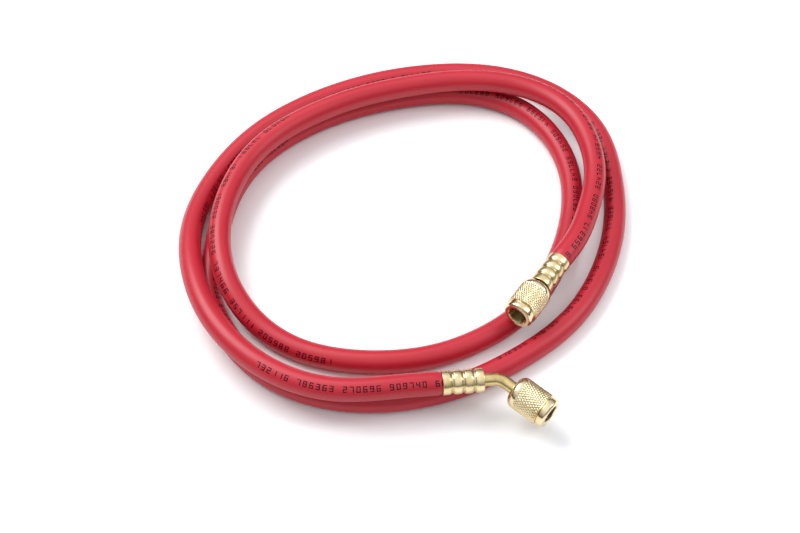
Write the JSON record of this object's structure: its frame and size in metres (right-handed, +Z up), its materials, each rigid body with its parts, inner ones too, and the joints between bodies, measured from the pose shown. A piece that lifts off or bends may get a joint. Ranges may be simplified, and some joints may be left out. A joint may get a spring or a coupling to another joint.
{
  "type": "refrigerant charging hose",
  "caption": "Coiled red rubber charging hose with crimped brass ferrules, a straight and a 45 degree swivel fitting with knurled nuts.",
  "frame": {"origin": "centre of the coil's box, on the floor that it lies on", "axes": "+Z up, -Y along the straight fitting towards its mouth, the bent fitting's mouth towards +X"},
  "size_m": [0.2608, 0.2847, 0.0309],
  "materials": {
    "rubber_hose": "satin red synthetic rubber cover",
    "brass_ferrule": "drawn and crimped, bright",
    "brass_stem": "turned and bent, bright",
    "brass_nut": "turned and diamond knurled, bright",
    "rubber_seal": "moulded dark green rubber"
  },
  "bodies": {
    "hose_assembly": {"hose": "rubber_hose", "ferrule_straight": "brass_ferrule", "ferrule_bent": "brass_ferrule", "stem_straight": "brass_stem", "stem_bent": "brass_stem", "seal_straight": "rubber_seal", "seal_bent": "rubber_seal", "core_depressor": "brass_stem"},
    "straight_nut": {"nut_straight": "brass_nut"},
    "bent_nut": {"nut_bent": "brass_nut"}
  },
  "joints": [
    {"name": "straight_nut_swivel", "type": "hinge", "parent": "hose_assembly", "child": "straight_nut", "pos_m": [0.085, -0.0136, 0.0221], "axis": [0, -1, 0], "continuous": true},
    {"name": "bent_nut_swivel", "type": "hinge", "parent": "hose_assembly", "child": "bent_nut", "pos_m": [0.10662, -0.07548, 0.01843], "axis": [0.9914, -0.0861, -0.0985], "continuous": true}
  ]
}
